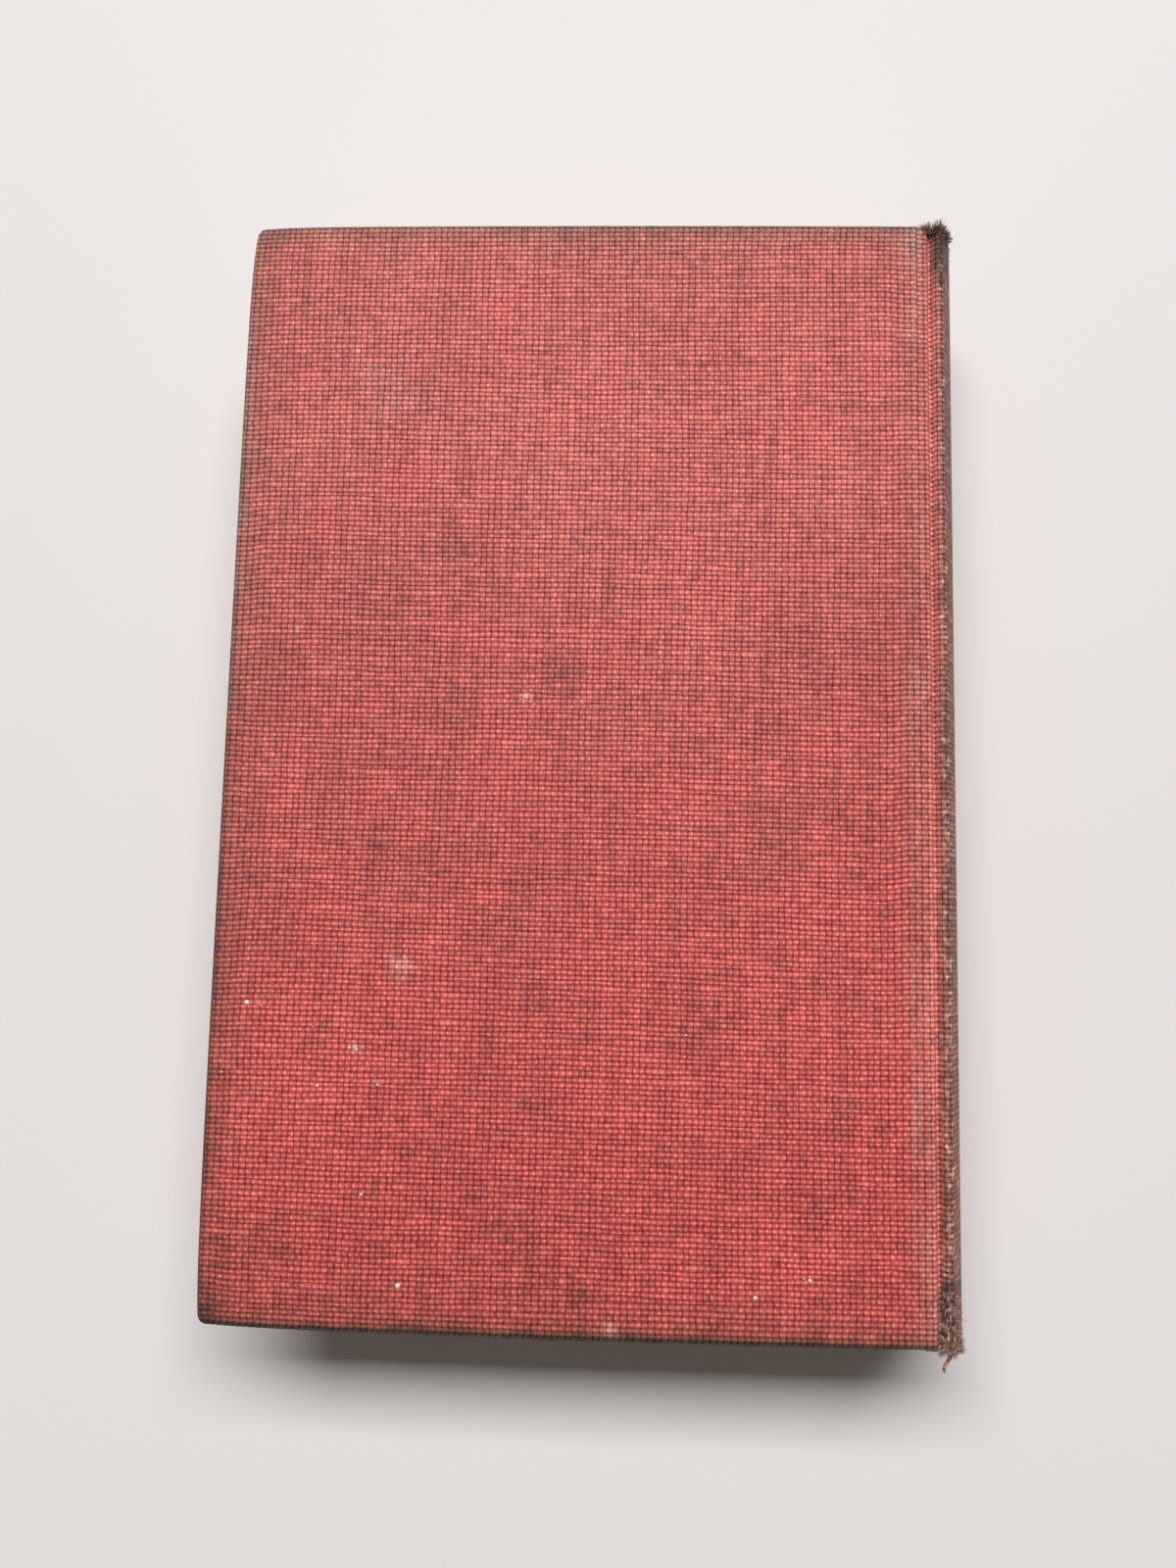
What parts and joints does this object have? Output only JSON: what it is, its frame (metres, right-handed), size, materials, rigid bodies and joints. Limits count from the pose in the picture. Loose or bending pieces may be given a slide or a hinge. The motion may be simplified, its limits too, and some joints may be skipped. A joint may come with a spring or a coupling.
{
  "type": "hardback book",
  "caption": "Old cloth-bound hardback book lying flat on its front cover, with a rounded spine, pressed joints and covers that swing open.",
  "frame": {"origin": "middle of the closed book's footprint, on the surface that the front cover lies on", "axes": "+X towards the spine, +Y towards the head, +Z out of the back cover"},
  "size_m": [0.1275, 0.1906, 0.03],
  "materials": {
    "book_cloth": "matte",
    "pages": "matte",
    "endpaper": "matte",
    "lining_paper": "matte",
    "card": "matte",
    "strawboard": "matte",
    "mull": "matte",
    "thread": "matte"
  },
  "bodies": {
    "book_block": {"text_block": "pages", "sewing_thread": "thread", "spine_mull": "mull", "spine_lining": "lining_paper", "spine_card": "card", "spine_cloth": "book_cloth", "back_flyleaf": "endpaper", "front_flyleaf": "endpaper", "back_joint_cloth": "book_cloth", "back_joint_mull": "mull", "back_joint_endpaper": "endpaper", "front_joint_cloth": "book_cloth", "front_joint_mull": "mull", "front_joint_endpaper": "endpaper"},
    "back_cover": {"back_board": "strawboard", "back_cover_cloth": "book_cloth", "back_mull_flange": "mull", "back_pastedown": "endpaper"},
    "front_cover": {"front_board": "strawboard", "front_cover_cloth": "book_cloth", "front_mull_flange": "mull", "front_pastedown": "endpaper"}
  },
  "joints": [
    {"name": "back_cover_hinge", "type": "hinge", "parent": "book_block", "child": "back_cover", "pos_m": [0.05894, 0, 0.0284], "axis": [0, 1, 0], "range_deg": [0, 180], "deforming": ["back_joint_cloth", "back_joint_mull", "back_joint_endpaper"]},
    {"name": "front_cover_hinge", "type": "hinge", "parent": "book_block", "child": "front_cover", "pos_m": [0.05894, 0, 0.0016], "axis": [0, -1, 0], "range_deg": [0, 180], "deforming": ["front_joint_cloth", "front_joint_mull", "front_joint_endpaper"]}
  ]
}
